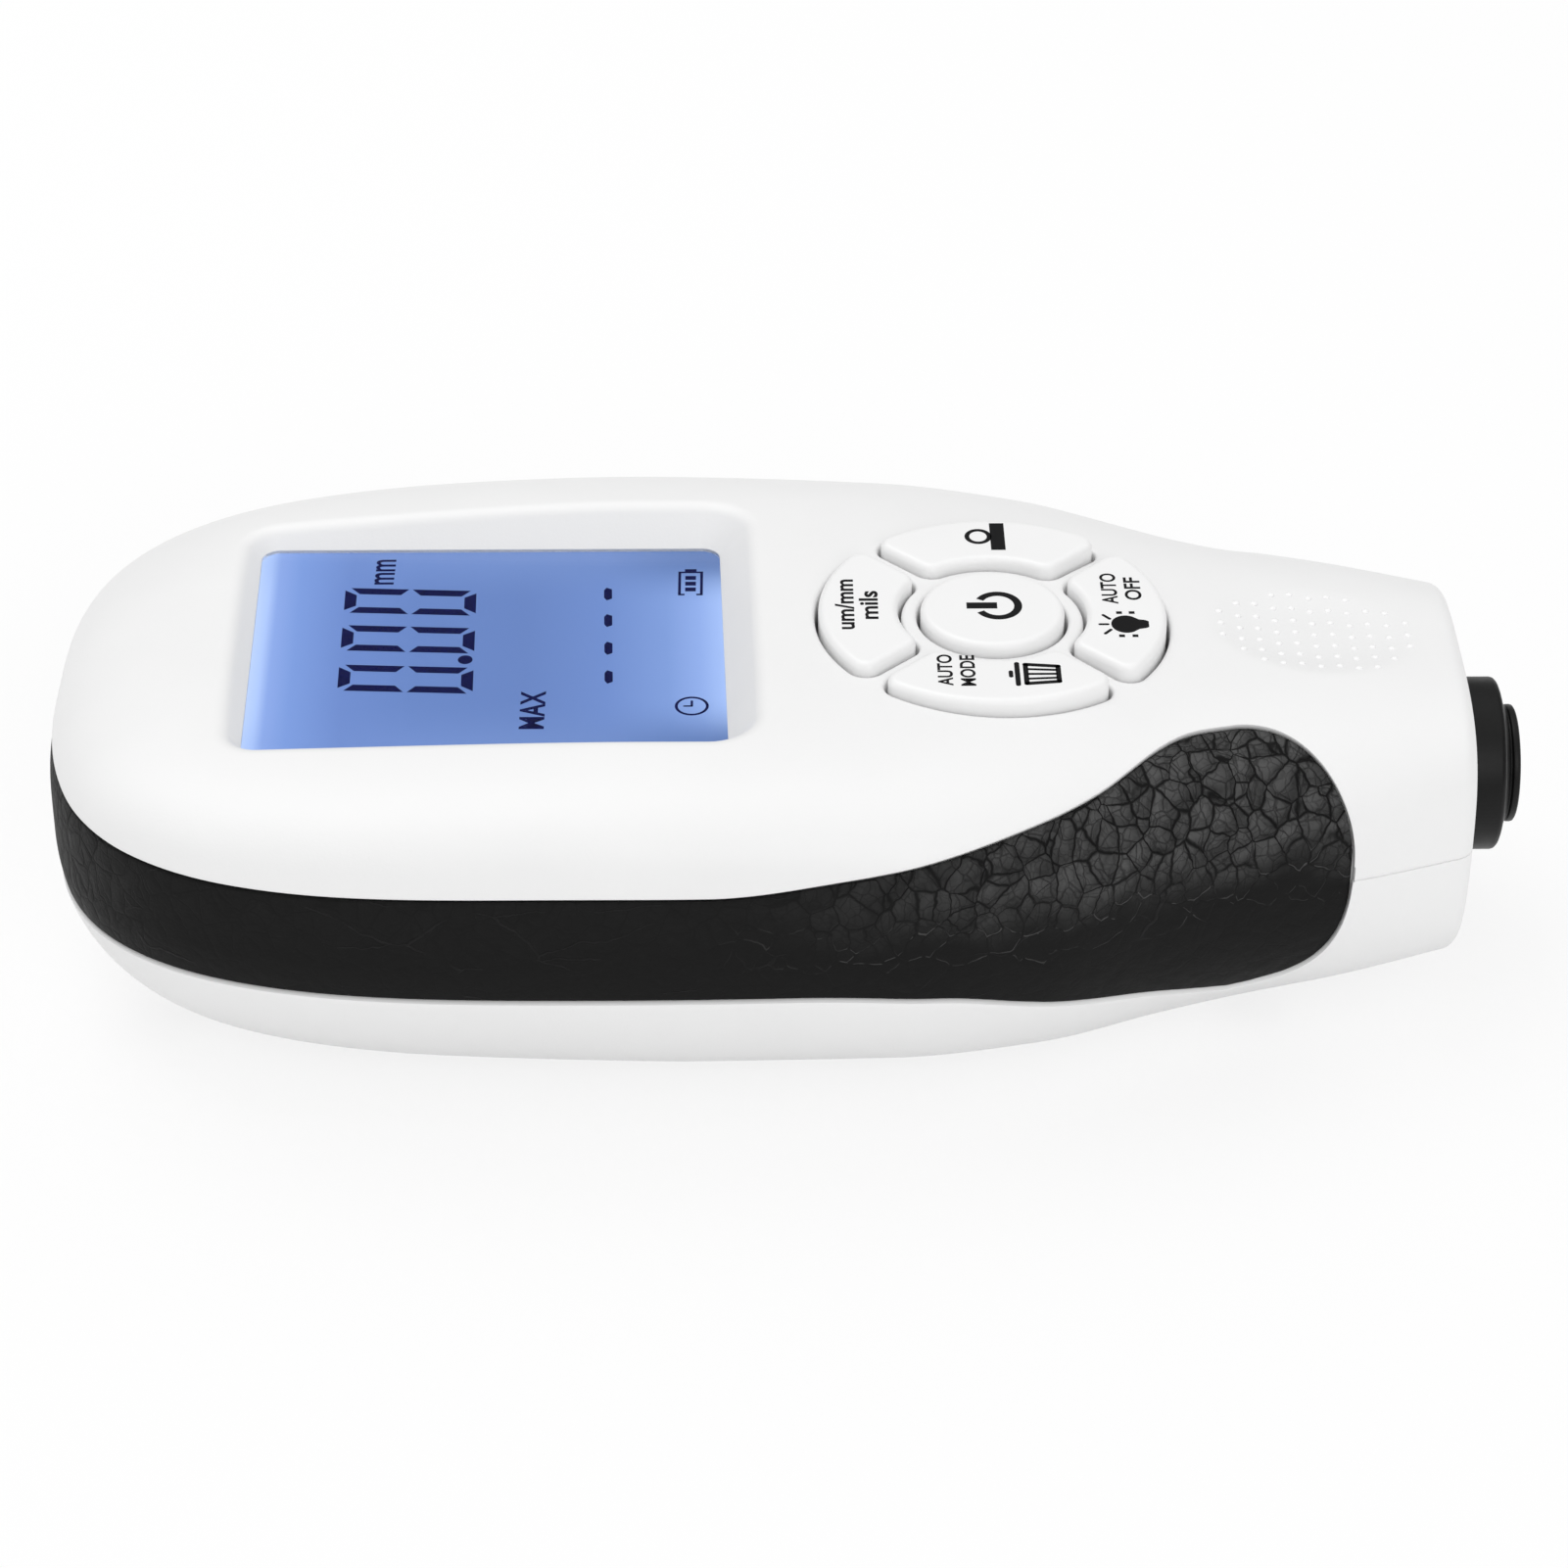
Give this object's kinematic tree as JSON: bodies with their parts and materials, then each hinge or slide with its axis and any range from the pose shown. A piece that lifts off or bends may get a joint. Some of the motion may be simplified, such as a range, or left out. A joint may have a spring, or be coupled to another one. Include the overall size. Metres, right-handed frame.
{
  "type": "coating thickness gauge",
  "caption": "Hand-held coating thickness gauge with a white moulded case, black pebbled grip, backlit display, ring of keys and a sprung probe in the nose.",
  "frame": {"origin": "centre of the bounding box at the level of the flat back", "axes": "+X from the wide end to the probe, +Z out of the display, the flat back at Z 0"},
  "size_m": [0.1232, 0.0604, 0.0315],
  "materials": {
    "case_white": "satin",
    "key_white": "satin",
    "grip_black": "pebbled",
    "pane_clear": "clear",
    "display_blue": "lit",
    "light_guide": "satin",
    "rubber_dark": "matt",
    "rubber_grey": "matt",
    "board_green": "varnished",
    "plastic_black": "satin",
    "steel": "plated",
    "cell_wrap": "printed film",
    "copper_wire": "enamelled"
  },
  "bodies": {
    "housing": {"front_shell": "case_white", "rear_shell": "case_white", "leather_grip": "grip_black", "case_screws": "steel", "display_window": "pane_clear", "display_glass": "display_blue", "display_backlight": "light_guide", "display_strips": "rubber_dark", "key_membrane": "rubber_grey", "key_switches": "plastic_black", "main_board": "board_green", "processor_chip": "plastic_black", "buzzer": "plastic_black", "board_screws": "steel", "battery_a": "cell_wrap", "battery_b": "cell_wrap", "battery_springs": "steel", "battery_plates": "steel", "probe_guide": "plastic_black", "probe_spring": "steel"},
    "power_button": {"power_key": "key_white"},
    "unit_button": {"unit_key": "key_white"},
    "zero_button": {"zero_key": "key_white"},
    "light_button": {"light_key": "key_white"},
    "delete_button": {"delete_key": "key_white"},
    "probe": {"probe_sleeve": "plastic_black", "probe_pole": "steel", "probe_coil": "copper_wire", "probe_clip": "steel"},
    "cover": {"battery_cover": "case_white"}
  },
  "joints": [
    {"name": "power_press", "type": "slide", "parent": "housing", "child": "power_button", "axis": [0, 0, -1], "range_m": [0, 0.0005], "stiffness_N_per_m": 800},
    {"name": "unit_press", "type": "slide", "parent": "housing", "child": "unit_button", "axis": [0, 0, -1], "range_m": [0, 0.0005], "stiffness_N_per_m": 800},
    {"name": "zero_press", "type": "slide", "parent": "housing", "child": "zero_button", "axis": [0, 0, -1], "range_m": [0, 0.0005], "stiffness_N_per_m": 800},
    {"name": "light_press", "type": "slide", "parent": "housing", "child": "light_button", "axis": [0, 0, -1], "range_m": [0, 0.0005], "stiffness_N_per_m": 800},
    {"name": "delete_press", "type": "slide", "parent": "housing", "child": "delete_button", "axis": [0, 0, -1], "range_m": [0, 0.0005], "stiffness_N_per_m": 800},
    {"name": "probe_push", "type": "slide", "parent": "housing", "child": "probe", "axis": [-1, 0, 0], "range_m": [0, 0.002], "stiffness_N_per_m": 600, "deforming": ["probe_spring"]},
    {"name": "cover_slide", "type": "slide", "parent": "housing", "child": "cover", "axis": [-1, 0, 0], "range_m": [0, 0.058]}
  ]
}
